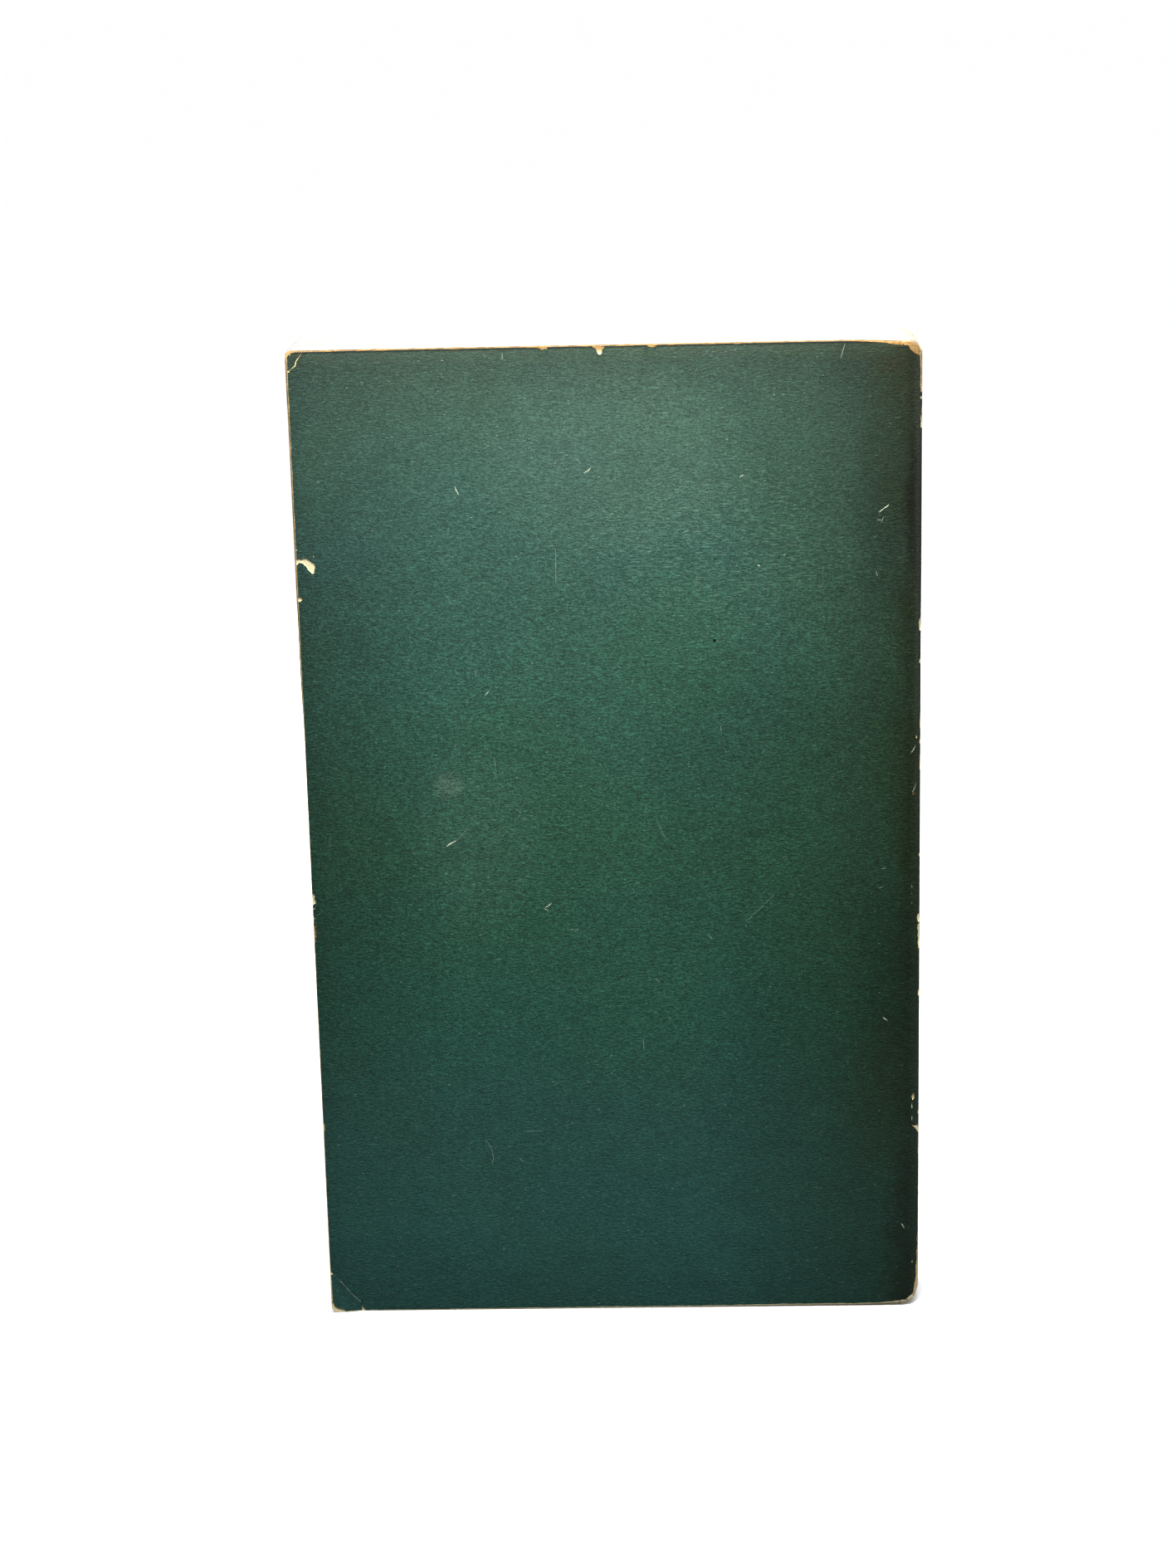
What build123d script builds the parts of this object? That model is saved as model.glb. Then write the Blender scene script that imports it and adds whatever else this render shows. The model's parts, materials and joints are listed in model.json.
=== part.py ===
"""Old small-format paperback with a limp card cover, closed and standing on its tail.

+Z runs up the page height, the spine faces +X and the worn back cover faces -Y.
The origin is on the tail, midway between fore-edge and spine and midway through the thickness.
"""

import os
from math import sqrt

from build123d import *

# Leaves, folded in sections and trimmed on three sides
page_height = 181.0
page_width = 110.0
section_count = 11
section_thickness = 1.45
section_groove_width = 0.24
section_groove_depth = 0.16
page_corner_radius = 1.0

# Card cover, glued round the backs of the sections
cover_card = 0.5
cover_gap = 0.1
lining_thickness = 0.5
spine_swell = 0.5
fold_radius = 3.0
hinge_land = 0.5
fore_edge_shrink = 0.4
head_shrink = 0.3

# Corners and edges rubbed by handling
fore_head_radius = 1.4
fore_tail_radius = 1.3
spine_head_radius = 3.0
spine_tail_radius = 4.5
edge_rub_radius = 0.15

# Dog-eared corner of the back cover, at the fore-edge and tail
dog_ear_height = 7.8
dog_ear_width = 6.2
dog_ear_bend = 12.0

# Where the back cover's green surface is lost, the card is bare to this depth
bare_depth = 0.15

# Crack across the back cover's corner at the fore-edge and head, in shares of its run and drop
crack_run = 2.7
crack_drop = 3.1
crack_width = 0.3
crack_shares = ((-0.2, -0.1), (0.2, 0.04), (0.55, 0.32), (0.94, 0.9), (1.1, 1.2))

# Flake lost at the back cover's fore-edge, its outline in shares of its own size
flake_rise = 141.3
flake_width = 3.6
flake_height = 3.1
flake_shares = (
    (-0.1, 0.96),
    (0.52, 1.0),
    (0.82, 0.78),
    (1.0, 0.55),
    (0.98, 0.1),
    (0.84, 0.0),
    (0.66, 0.33),
    (0.45, 0.6),
    (0.24, 0.72),
    (-0.1, 0.5),
)

# Chip lost at the back cover's head, its outline in shares of its own size
chip_run = 54.2
chip_width = 1.3
chip_height = 1.1
chip_shares = ((0.0, 1.1), (0.3, 0.6), (0.36, 0.1), (0.62, 0.0), (0.74, 0.55), (1.0, 1.1))

# Every cut runs this far past the solid that it cuts
overrun = 1.0

# Sizes that follow from the ones above
block_half = section_count * section_thickness / 2
section_half = section_thickness / 2
cover_inner = block_half + cover_gap
cover_outer = cover_inner + cover_card
cover_height = page_height - head_shrink
total_width = page_width + lining_thickness + cover_card

# Places along X, from the fore-edge to the middle of the spine
page_fore = -total_width / 2
cover_fore = page_fore + fore_edge_shrink
block_back = page_fore + page_width
spine_inner = block_back + lining_thickness
spine_outer = spine_inner + cover_card
hinge_x = spine_outer - spine_swell - fold_radius - hinge_land
block_fold_radius = fold_radius - cover_card - cover_gap


def section_centre(index):
    """Place along Y of the middle of one section."""
    return -block_half + section_half + section_thickness * index


def section_fold(across):
    """Place along X of the middle of a section's rounded back, on the swell of the spine."""
    past_shoulder = max(abs(across) - (block_half - block_fold_radius), 0)
    shoulder = sqrt(max((block_fold_radius - section_half) ** 2 - past_shoulder**2, 0))
    swell = spine_swell * (across / block_half) ** 2
    return block_back - swell - block_fold_radius + shoulder


def spine_outline(half_width, back, radius):
    """Closed outline that runs from the hinge line round the back of the book."""
    corner = back - spine_swell
    with BuildSketch() as outline:
        with BuildLine():
            Polyline(
                (corner, -half_width),
                (hinge_x, -half_width),
                (hinge_x, half_width),
                (corner, half_width),
            )
            ThreePointArc((corner, half_width), (back, 0), (corner, -half_width))
        make_face()
        fillet(outline.vertices().group_by(Axis.X)[-1], radius)
    return outline.sketch


def side_outline(fore, back, head, fore_head, fore_tail, spine_head, spine_tail):
    """Outline seen square to the covers, with each corner rubbed to a radius of its own."""
    corners = (
        ((fore, head), fore_head),
        ((fore, 0), fore_tail),
        ((back, head), spine_head),
        ((back, 0), spine_tail),
    )
    with BuildSketch(Plane.XZ) as outline:
        with BuildLine():
            Polyline((fore, 0), (back, 0), (back, head), (fore, head), close=True)
        make_face()
        for place, radius in corners:
            fillet(outline.vertices().sort_by_distance(place)[0], radius)
    return outline.sketch


cover_side = side_outline(
    cover_fore,
    spine_outer,
    cover_height,
    fore_head_radius,
    fore_tail_radius,
    spine_head_radius,
    spine_tail_radius,
)
page_side = side_outline(
    page_fore,
    spine_inner,
    page_height,
    page_corner_radius,
    page_corner_radius,
    spine_head_radius,
    spine_tail_radius,
)
inner_outline = spine_outline(cover_inner, spine_inner, fold_radius - cover_card)

# Section through the leaves: each section is rounded at its fold and eased at the fore-edge
with BuildSketch() as sections:
    for index in range(section_count):
        middle = section_centre(index)
        fold = section_fold(middle)
        low = middle - section_half
        high = middle + section_half
        with BuildLine():
            Polyline(
                (fold, low),
                (page_fore + section_groove_depth, low),
                (page_fore, low + section_groove_width / 2),
                (page_fore, high - section_groove_width / 2),
                (page_fore + section_groove_depth, high),
                (fold, high),
            )
            ThreePointArc((fold, high), (fold + section_half, middle), (fold, low))
        make_face()

# Page block, with a fine groove between neighbouring sections at tail and head
trimmed_edges = ((0, section_groove_depth), (page_height, page_height - section_groove_depth))
with BuildPart() as page_block:
    add(sections.sketch)
    extrude(amount=page_height)
    extrude(page_side, amount=cover_outer, both=True, mode=Mode.INTERSECT)
    with BuildSketch(Plane.YZ.offset(page_fore - overrun)):
        for index in range(1, section_count):
            seam = section_centre(index) - section_half
            for edge, floor in trimmed_edges:
                with BuildLine():
                    Polyline(
                        (seam - section_groove_width / 2, edge),
                        (seam, floor),
                        (seam + section_groove_width / 2, edge),
                        close=True,
                    )
                make_face()
    extrude(amount=total_width + 2 * overrun, mode=Mode.SUBTRACT)
page_block.part.label = "page_block"

# Hardened glue and mull between the folded backs and the card
with BuildPart() as spine_lining:
    with BuildSketch():
        add(inner_outline)
        add(sections.sketch, mode=Mode.SUBTRACT)
    extrude(amount=cover_height)
    extrude(page_side, amount=cover_outer, both=True, mode=Mode.INTERSECT)
spine_lining.part.label = "spine_lining"

# Spine panel of the card, bent round the two folds as far as the hinge lines
with BuildPart() as spine:
    with BuildSketch():
        add(spine_outline(cover_outer, spine_outer, fold_radius))
        add(inner_outline, mode=Mode.SUBTRACT)
    extrude(amount=cover_height)
    extrude(cover_side, amount=cover_outer + overrun, both=True, mode=Mode.INTERSECT)
spine.part.label = "spine"


def cover_panel(middle):
    """Section through one flat panel of the card, from its fore-edge to its hinge line."""
    with BuildSketch() as panel:
        with Locations(((cover_fore + hinge_x) / 2, middle)):
            Rectangle(hinge_x - cover_fore, cover_card)
    return panel.sketch


# Front panel of the card
with BuildPart() as front_cover:
    add(cover_panel(cover_inner + cover_card / 2))
    extrude(amount=cover_height)
    extrude(cover_side, amount=cover_outer + overrun, both=True, mode=Mode.INTERSECT)
    front_face = front_cover.faces().sort_by(Axis.Y)[-1]
    fillet(front_face.edges().sort_by(Axis.X)[:-1], edge_rub_radius)
front_cover.part.label = "front_cover"

# The dog-ear turns outwards about a line on the inner face of the back panel
crease_low = Vector(cover_fore + dog_ear_width, -cover_inner, 0)
crease_high = Vector(cover_fore, -cover_inner, dog_ear_height)
crease = Axis(crease_low, crease_high - crease_low)
crease_plane = Plane(crease_low, x_dir=crease.direction, z_dir=crease.direction.cross(Vector(0, 1, 0)))



def panel_points(shares, left, foot, width, height):
    """Points in the plane of the back panel, from shares of a mark's own width and height."""
    return [(left + width * along, foot + height * up) for along, up in shares]


flake_points = panel_points(flake_shares, cover_fore, flake_rise, flake_width, flake_height)
chip_foot = cover_height - chip_height
chip_points = panel_points(chip_shares, cover_fore + chip_run, chip_foot, chip_width, chip_height)
crack_points = panel_points(crack_shares, cover_fore, cover_height - crack_drop, crack_run, crack_drop)

# Back panel of the card, with the wear that it has
with BuildPart() as back_cover:
    add(cover_panel(-cover_inner - cover_card / 2))
    extrude(amount=cover_height)
    extrude(cover_side, amount=cover_outer + overrun, both=True, mode=Mode.INTERSECT)
    back_face = back_cover.faces().sort_by(Axis.Y)[0]
    fillet(back_face.edges().sort_by(Axis.X)[:-1], edge_rub_radius)
    dog_ear = split(back_cover.part, bisect_by=crease_plane, keep=Keep.TOP, mode=Mode.PRIVATE)
    split(bisect_by=crease_plane, keep=Keep.BOTTOM)
    add(dog_ear.rotate(crease, dog_ear_bend))
    with BuildSketch(Plane.XZ.offset(cover_outer)):
        for points in (flake_points, chip_points):
            with BuildLine():
                Polyline(points, close=True)
            make_face()
        with BuildLine():
            Polyline(crack_points)
        trace(line_width=crack_width)
    extrude(amount=-bare_depth, mode=Mode.SUBTRACT)
back_cover.part.label = "back_cover"

os.makedirs("parts", exist_ok=True)
for piece in (page_block, spine_lining, spine, back_cover, front_cover):
    export_step(piece.part, f"parts/{piece.part.label}.step")
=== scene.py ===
"""An old green paperback with a worn card cover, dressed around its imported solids.

The card is worked out flat first, as one sheet: it runs from the back cover's fore-edge, round the spine,
to the front cover's fore-edge. A point on it is (across, up) in millimetres, and wrap() bends it into place.
"""

import json
import random
from math import atan2, cos, exp, hypot, pi, radians, sin, sqrt

import bpy
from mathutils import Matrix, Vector, noise
from mathutils.geometry import delaunay_2d_cdt


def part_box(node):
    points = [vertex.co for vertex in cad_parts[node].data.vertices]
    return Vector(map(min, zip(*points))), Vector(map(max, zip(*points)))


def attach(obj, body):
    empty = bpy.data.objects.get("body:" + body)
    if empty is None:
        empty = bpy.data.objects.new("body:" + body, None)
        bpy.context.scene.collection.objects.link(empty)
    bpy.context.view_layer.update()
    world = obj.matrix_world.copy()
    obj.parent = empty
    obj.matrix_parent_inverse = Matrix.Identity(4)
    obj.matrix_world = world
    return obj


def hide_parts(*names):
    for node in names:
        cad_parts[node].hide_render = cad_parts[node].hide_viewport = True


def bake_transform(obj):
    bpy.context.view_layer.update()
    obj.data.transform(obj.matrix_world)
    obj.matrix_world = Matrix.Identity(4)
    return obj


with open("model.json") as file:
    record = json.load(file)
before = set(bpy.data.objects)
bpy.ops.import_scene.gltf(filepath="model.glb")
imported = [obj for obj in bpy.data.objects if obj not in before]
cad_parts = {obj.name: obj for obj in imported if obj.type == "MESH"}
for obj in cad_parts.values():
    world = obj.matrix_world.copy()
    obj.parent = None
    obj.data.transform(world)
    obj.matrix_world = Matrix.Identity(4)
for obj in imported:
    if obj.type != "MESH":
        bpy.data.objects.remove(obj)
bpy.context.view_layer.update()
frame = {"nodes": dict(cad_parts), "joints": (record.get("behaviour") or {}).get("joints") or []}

MM = 0.001


def box_mm(node):
    """Lowest and highest corner of a solid, in millimetres."""
    low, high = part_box(node)
    return low / MM, high / MM


page_low, page_high = box_mm("page_block")
panel_low, panel_high = box_mm("front_cover")
_, spine_high = box_mm("spine")
hinge_x = frame["joints"][0]["pos_m"][0] / MM

# Sizes that the solids give
card = panel_high.y - panel_low.y
cover_half = panel_high.y
cover_head = panel_high.z
cover_fore = panel_low.x
spine_back = spine_high.x
panel_width = hinge_x - cover_fore

# Sizes of the solids' own curves
fold_radius = 3.0
spine_swell = 0.5
fore_head_radius = 1.4
fore_tail_radius = 1.3
spine_head_radius = 3.0
spine_tail_radius = 4.5
page_corner_radius = 1.0
section_count = 11
block_fold_radius = 2.4
lining_thickness = 0.5
dog_ear_height = 7.8
dog_ear_width = 6.2
dog_ear_bend = radians(12.0)
dog_ear_softness = 1.2

# Wear of the shape: how far the spine's ends are lost, how ragged they are, how far the card is worn up
end_radius = 3.0
end_loss = 2.0
end_softness = 1.2
end_rough = 0.3
tail_rise = 0.25
fold_rise = 0.25
fore_drop = 0.08
spine_drop = 0.35
end_rough_run = 2.0
end_rough_size = 1.7
tail_seed = 31.0
head_seed = 37.0
fore_drop_run = 16.0

# Stretches along X over which the tail rises, the folds rise and the head drops
tail_rise_run = (-15.0, 50.0)
fold_rise_run = (42.0, 54.0)
spine_drop_run = (43.0, 54.0)

# How panels stand off their flat: start from the hinge, mean, and waves of height, length and seed
loose_start = 4.0
mean_lift = 0.14
lift_waves = ((0.12, 38.0, 3.1), (0.04, 14.0, 7.7))

# The spine's section: a flat land, a fold and half of the swell on each side of its middle
swell_radius = (cover_half**2 + spine_swell**2) / (2 * spine_swell)
swell_x = spine_back - swell_radius
fold_y = cover_half - fold_radius
fold_x = swell_x + sqrt((swell_radius - fold_radius) ** 2 - fold_y**2)
fold_lean = atan2(fold_y, fold_x - swell_x)
land = fold_x - hinge_x
fold_arc = fold_radius * (pi / 2 - fold_lean)
sheet_middle = panel_width + land + fold_arc + swell_radius * fold_lean
sheet_width = 2 * sheet_middle

# How finely the card is meshed: along its edges, over its panels, beside its hinges, and at the spine's ends
edge_step = 0.6
grid_step = 2.0
hinge_columns = [0.1 + 0.2 * step for step in range(9)] + [2.1 + 0.4 * step for step in range(9)]
end_rows = (0.35, 0.8, 1.3, 1.9, 2.6, 3.4, 4.3)
hinge_bend = 0.1

# Margins that keep loose points off the edges and corners
row_margin = 0.9
bend_margin = 0.3
column_margin = 0.05
corner_reach = 2.5


def smooth(value, start, end):
    """0 before start, 1 after end, an even S between."""
    share = min(max((value - start) / (end - start), 0.0), 1.0)
    return share * share * (3 - 2 * share)


def soft_least(first, second, softness):
    """The lesser of two values, eased where they come close."""
    near = max(softness - abs(first - second), 0.0)
    return min(first, second) - near**2 / (4 * softness)


def rounding(past, radius):
    """How far an arc has drawn in at a distance past its start."""
    past = min(max(past, 0.0), radius)
    return radius - sqrt(radius**2 - past**2)


def ripple(across, up, size, seed):
    """Smooth noise, about -1 to 1, with bumps of about the given size."""
    return noise.noise(Vector((across / size, up / size, seed)))


def lift(across, up):
    """How far a panel stands off its flat, more towards the fore-edge."""
    from_fore = min(across, sheet_width - across)
    loose = smooth(panel_width - from_fore, loose_start, panel_width)
    waves = sum(height * ripple(across, up, length, seed) for height, length, seed in lift_waves)
    return loose * max(mean_lift + waves, 0.0)


def section(across, depth=0.0):
    """Place in plan of a point of the sheet at a depth, before any wear."""
    mirrored = across > sheet_middle
    run = (sheet_width - across if mirrored else across) - panel_width
    if run <= land:
        x = hinge_x + run
        y = -cover_half + depth
    elif run <= land + fold_arc:
        turn = (run - land) / fold_radius - pi / 2
        x = fold_x + (fold_radius - depth) * cos(turn)
        y = -fold_y + (fold_radius - depth) * sin(turn)
    else:
        turn = (run - land - fold_arc) / swell_radius - fold_lean
        x = swell_x + (swell_radius - depth) * cos(turn)
        y = (swell_radius - depth) * sin(turn)
    return x, -y if mirrored else y


def wrap(across, up, depth=0.0):
    """Place of a point of the sheet, at a depth under its outer face."""
    x, y = section(across, depth)
    if across > sheet_middle:
        return Vector((x, y + lift(across, up), up))
    return turn_corner(Vector((x, y - lift(across, up), up)))


crease_normal = Vector((-dog_ear_height, 0, -dog_ear_width)).normalized()
crease_point = Vector((cover_fore + dog_ear_width, 0, 0))


def turn_corner(place):
    """Turns the back cover's dog-ear outwards about its crease."""
    past = (place - crease_point).dot(crease_normal)
    if past <= 0 or place.y > 0:
        return place
    bend = dog_ear_bend * smooth(past, 0.0, dog_ear_softness)
    turned = place + crease_normal * past * (cos(bend) - 1)
    turned.y -= past * sin(bend)
    return turned


def tail_lift(x):
    """How far the tail stands off the floor, more towards the spine."""
    return tail_rise * smooth(x, *tail_rise_run) + fold_rise * smooth(x, *fold_rise_run)


def head_drop(x):
    """How far the head is worn down at the spine."""
    return spine_drop * smooth(x, *spine_drop_run)


def end_wear(across, seed):
    """How much of the spine is lost at one end."""
    x, _ = section(across)
    lost = soft_least(rounding(x - spine_back + end_radius, end_radius), end_loss, end_softness)
    near_back = smooth(x, spine_back - end_rough_run, spine_back)
    return lost + end_rough * near_back * ripple(across, 0.0, end_rough_size, seed)


def foot(across):
    """Tail edge of the card."""
    x, _ = section(across)
    return tail_lift(x) + end_wear(across, tail_seed)


def top(across):
    """Head edge of the card, lower towards fore-edge and spine."""
    x, _ = section(across)
    lost = fore_drop * (1 - smooth(x, cover_fore, cover_fore + fore_drop_run)) + head_drop(x)
    return cover_head - lost - end_wear(across, head_seed)


def runs(start, end, count):
    """Evenly spaced values from start towards end, without the end."""
    return [start + (end - start) * index / count for index in range(count)]


def steps(start, end, step):
    """Values about a step apart from start towards end, without the end."""
    return runs(start, end, max(int(abs(end - start) / step), 1))


def arc(centre, radius, start, end, count=6):
    """Points of an arc without its last, with angles in degrees."""
    turns = [radians(angle) for angle in runs(start, end, count)]
    return [(centre[0] + radius * cos(t), centre[1] + radius * sin(t)) for t in turns]


def back_outline():
    """Outline of the back panel, counter-clockwise from the tail."""
    tail_r = fore_tail_radius
    head_r = fore_head_radius
    bent = panel_width - hinge_bend
    points = [(a, foot(a)) for a in steps(tail_r, bent, edge_step) + [bent]]
    points += [(panel_width, z) for z in steps(foot(panel_width), top(panel_width), edge_step)]
    points += [(a, top(a)) for a in [panel_width] + steps(bent, head_r, edge_step)]
    points += arc((head_r, top(head_r) - head_r), head_r, 90, 180)
    points += [(0.0, z) for z in steps(top(head_r) - head_r, tail_r, edge_step)]
    points += arc((tail_r, tail_r), tail_r, 180, 270)
    return points


def front_outline():
    """The back panel's outline, turned over."""
    return [(sheet_width - across, up) for across, up in reversed(back_outline())]


def spine_outline():
    """Outline of the spine and its two folds."""
    far = sheet_width - panel_width
    points = [(a, foot(a)) for a in steps(panel_width, far, edge_step / 2)]
    points += [(far, z) for z in steps(foot(far), top(far), edge_step)]
    points += [(a, top(a)) for a in steps(far, panel_width, edge_step / 2)]
    points += [(panel_width, z) for z in steps(top(panel_width), foot(panel_width), edge_step)]
    return points


# Where handling has rubbed an edge of the card wider: across, up, reach along the edge, added width
worn_places = (
    (0, 180.5, 2, 0.04), (0.5, 0.5, 2, 0.16), (0, 4.6, 2.6, 0.12), (50, 0.1, 40, 0.18),
    (0, 81.3, 0.9, 0.16), (0, 75, 1.4, 0.14), (0, 37, 0.5, 0.35), (44.7, 180.7, 1.3, 0.16),
    (54.4, 180.7, 0.9, 0.14), (63.5, 180.7, 0.9, 0.14), (107.5, 180.3, 4, 0.48), (111.3, 179, 3, 0.45),
    (92, 0.2, 16, 0.14), (107.8, 0.9, 3, 0.4), (110.6, 2.4, 2.6, 0.65), (117, 178.7, 6, 0.18),
    (117, 2.7, 6, 0.22), (126, 179, 4, 0.28), (126, 2.4, 4, 0.3), (234.5, 180, 2.4, 0.3),
    (234.5, 0.6, 2.4, 0.35),
)

# The rubbed band: width, least width, waves of share, size and seed, share at the head, grit where worn
rub_width = 0.11
rub_least = 0.03
end_clear = 0.01
rub_waves = ((0.6, 2.3, 1.9), (0.3, 0.8, 5.3))
head_band = 0.5
head_rub = 0.6
worn_reach = 2.5
grit_share = 0.45
grit_size = 0.9
grit_seed = 11.3

# Its depth: at most a share of the card, and a share of its width, less near the tail
rub_share = 0.45
edge_depth_share = 0.9
tail_band = 1.5
tail_depth_share = 0.3


def rub_at(across, up):
    """Width of the rubbed band along the card's edge."""
    if min(abs(across - panel_width), abs(across - sheet_width + panel_width)) < 1e-4:
        if foot(across) + end_clear < up < top(across) - end_clear:
            return 0.0
    waves = sum(share * ripple(across, up, size, seed) for share, size, seed in rub_waves)
    width = rub_width * (1.0 + waves)
    if up > cover_head - head_band:
        width *= head_rub
    for place_across, place_up, reach, extra in worn_places:
        away = hypot(across - place_across, up - place_up) / reach
        if away < worn_reach:
            grit = 1.0 + grit_share * ripple(across, up, grit_size, grit_seed)
            width += extra * grit * exp(-(away**2))
    return max(width, rub_least)


def rub_depth(up, rub):
    """Depth of the rubbed band, shallow at the tail."""
    return min(rub * (tail_depth_share if up < tail_band else edge_depth_share), card * rub_share)


# How finely torn card breaks up, and where on the sheet chips of the back fold end
tear_step = 0.3
fold_far = 111.5
fold_spread = 1.1
fold_step = 0.6


def vectors(numbers):
    """Points from across and up in turn."""
    return [Vector(p) for p in zip(numbers[::2], numbers[1::2])]


def around(ring):
    """Each item of a ring with the next."""
    return zip(ring, ring[1:] + ring[:1])


def ribbon(numbers, width, seed, taper=0.25):
    """Outline of a scratch along points, thinner at its ends."""
    rng = random.Random(seed)
    line = vectors(numbers)
    fine = [line[0]]
    for start, end in zip(line, line[1:]):
        count = max(int((end - start).length / tear_step), 1)
        fine += [start.lerp(end, (index + 1) / count) for index in range(count)]
    left = []
    right = []
    for index, place in enumerate(fine):
        ahead = fine[min(index + 1, len(fine) - 1)] - fine[max(index - 1, 0)]
        side = Vector((-ahead.y, ahead.x)).normalized()
        along = index / (len(fine) - 1)
        full = taper + (1 - taper) * sin(pi * along) ** 0.6
        half = width / 2 * full * rng.uniform(0.5, 1.3)
        left.append(place + side * half)
        right.append(place - side * half)
    return [tuple(p) for p in right + left[::-1]]


def ragged(numbers, seed, rough=0.06):
    """An outline with its straights broken up, as torn card is."""
    rng = random.Random(seed)
    broken = []
    for start, end in around(vectors(numbers)):
        count = max(int((end - start).length / tear_step), 1)
        side = Vector((start.y - end.y, end.x - start.x)).normalized()
        for index in range(count):
            off = rng.uniform(-rough, rough) if index else 0.0
            broken.append(tuple(start.lerp(end, index / count) + side * off))
    return broken


def blotch(across, up, wide, tall, seed, count=14):
    """Outline of an uneven spot."""
    rng = random.Random(seed)
    shape = []
    for index in range(count):
        turn = 2 * pi * index / count
        swell = rng.uniform(0.62, 1.12)
        shape.append((across + wide / 2 * swell * cos(turn), up + tall / 2 * swell * sin(turn)))
    return shape


def fold_chip(near, seed):
    """Outline of a chip round the back fold, from its near side downwards."""
    high = near[1]
    low = near[-1]
    far = []
    for share in runs(0, 1, max(int((high - low) / fold_step), 3)) + [1]:
        up = low + (high - low) * share
        bulge = sin(pi * share) ** 0.5 * (0.6 + 0.6 * ripple(0, up, 1.4, seed * 3.7))
        far += [fold_far + fold_spread * bulge, up]
    return ragged([*near, *far], seed)


def nick(up, deep, tall, seed):
    """Outline of a nick in the back cover's fore-edge."""
    return ragged((-0.2, up + tall / 2, deep, up, -0.2, up - tall / 2), seed, 0.03)


# Outlines of marks: across and up in turn
flake = (
    -0.2, 144.2, 0.9, 144.1, 1.8, 144.3, 2.5, 143.8, 3.2, 143.3, 3.4, 142.75, 3.15, 142.1, 3.2, 141.65,
    2.8, 141.45, 2.5, 141.8, 2, 142.35, 1.45, 143.05, 0.95, 143.45, 0.5, 143.5, 0.2, 143.1, -0.2, 143.1,
)
head_chip = (
    53, 181, 53.2, 180.5, 53.8, 180.3, 53.95, 179.75, 54.1, 179.35, 54.45, 179.2, 54.8, 179.4, 54.9, 180.1,
    55.3, 180.45, 55.4, 181,
)
first_head_nick = (43.8, 181, 44, 180.5, 44.5, 180.2, 44.9, 180.4, 45.3, 180.3, 45.5, 181)
second_head_nick = (62.5, 181, 62.8, 180.45, 63.6, 180.3, 64.3, 180.45, 64.5, 181)
corner_crack = (-0.2, 177.2, 0.4, 177.45, 1.5, 178.3, 1.7, 179.1, 2.4, 180, 2.75, 180.5, 2.8, 181)
fore_spur = (-0.2, 137.2, 0.5, 137.25, 0.85, 136.85, 0.45, 136.5, -0.2, 136.6)
fore_chip = (-0.2, 82.4, 0.35, 82.3, 0.55, 81.9, 0.4, 81.5, 0.65, 81, 0.6, 80.5, 0.2, 80.3, -0.2, 80.2)
crease_top = (-0.2, 8.4, 0.2, 8.2, 0.6, 7.5, 0.35, 7.45, -0.2, 7.6)
crease_end = (5.65, 1, 6, 0.8, 6.35, 0.3, 6.3, -0.2, 5.8, -0.2, 5.75, 0.5)
worn_fold_end = (
    111.7, 6.4, 111.1, 4.7, 110.5, 3.4, 109.8, 2.5, 108.9, 1.8, 107.8, 1.2, 107.2, -0.2, 112.6, -0.2,
)
turned_tip = (-0.3, 2.3, 0.35, 2.1, 0.6, 1.3, 1.3, 0.8, 2.4, 0.55, 3, -0.3, 0.8, -0.4, -0.4, 0.3)
low_chip = (110.5, 74.5, 110.3, 73.8, 110.6, 73.2, 110.4, 72.4, 110.7, 71.8, 110.45, 71, 110.8, 69.8)
split_chip = (109.1, 35.9, 109.9, 35.2, 110.6, 34.3, 112.3, 33.2, 112.4, 34.3, 110.6, 35.5)

# Bare card, in recesses of the green surface
bare_marks = [
    ragged(flake, 1, 0.09), blotch(3.15, 144.55, 0.28, 0.3, 2), ragged(head_chip, 3),
    ragged(first_head_nick, 4), ragged(second_head_nick, 5), ribbon(corner_crack, 0.16, 6, 0.7),
    blotch(0.2, 177.3, 0.7, 0.42, 7), blotch(0.65, 180.3, 0.35, 0.6, 8), nick(145.8, 0.4, 0.9, 9),
    ragged(fore_spur, 10), ragged(fore_chip, 11), nick(79.5, 0.6, 0.5, 12), nick(77.7, 0.55, 0.55, 13),
    nick(70.7, 0.4, 0.4, 14), nick(66.25, 0.35, 0.35, 15), ragged(crease_top, 16), ragged(crease_end, 17),
    fold_chip((110.5, 170.65, 110.6, 170.2), 19),
    fold_chip((110.8, 167.5, 110.6, 166.9, 110.75, 166.2, 110.6, 165.6, 110.8, 165.15), 20),
    fold_chip((110.6, 131.2, 110.3, 130.6, 110.4, 129.9, 110.5, 129.3, 110.75, 129), 21),
    fold_chip((110.7, 123.8, 110.5, 123.4, 110.75, 123.1), 22),
    fold_chip((111.05, 113.8, 110.9, 112.5, 111.05, 111.1), 23),
    fold_chip((111, 109.2, 110.8, 108.6, 111.05, 108.2), 24),
    fold_chip((111.1, 106.2, 110.95, 104.6, 111.1, 103.4), 25), blotch(109.7, 109.8, 0.42, 0.6, 26),
    fold_chip((110.7, 87.8, 110.85, 87.3), 27),
    fold_chip((110.4, 76.4, 110.15, 75.8, 110.35, 75.2, 110.65, 74.8), 28), fold_chip(low_chip, 29),
    fold_chip((110.8, 61.8, 110.6, 61.2, 110.85, 60.7), 30), blotch(109.3, 41.5, 0.75, 1.5, 31),
    ragged(split_chip, 32), blotch(109.2, 8.6, 0.36, 0.36, 34), ragged(turned_tip, 35),
    ragged(worn_fold_end, 36),
]

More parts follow.
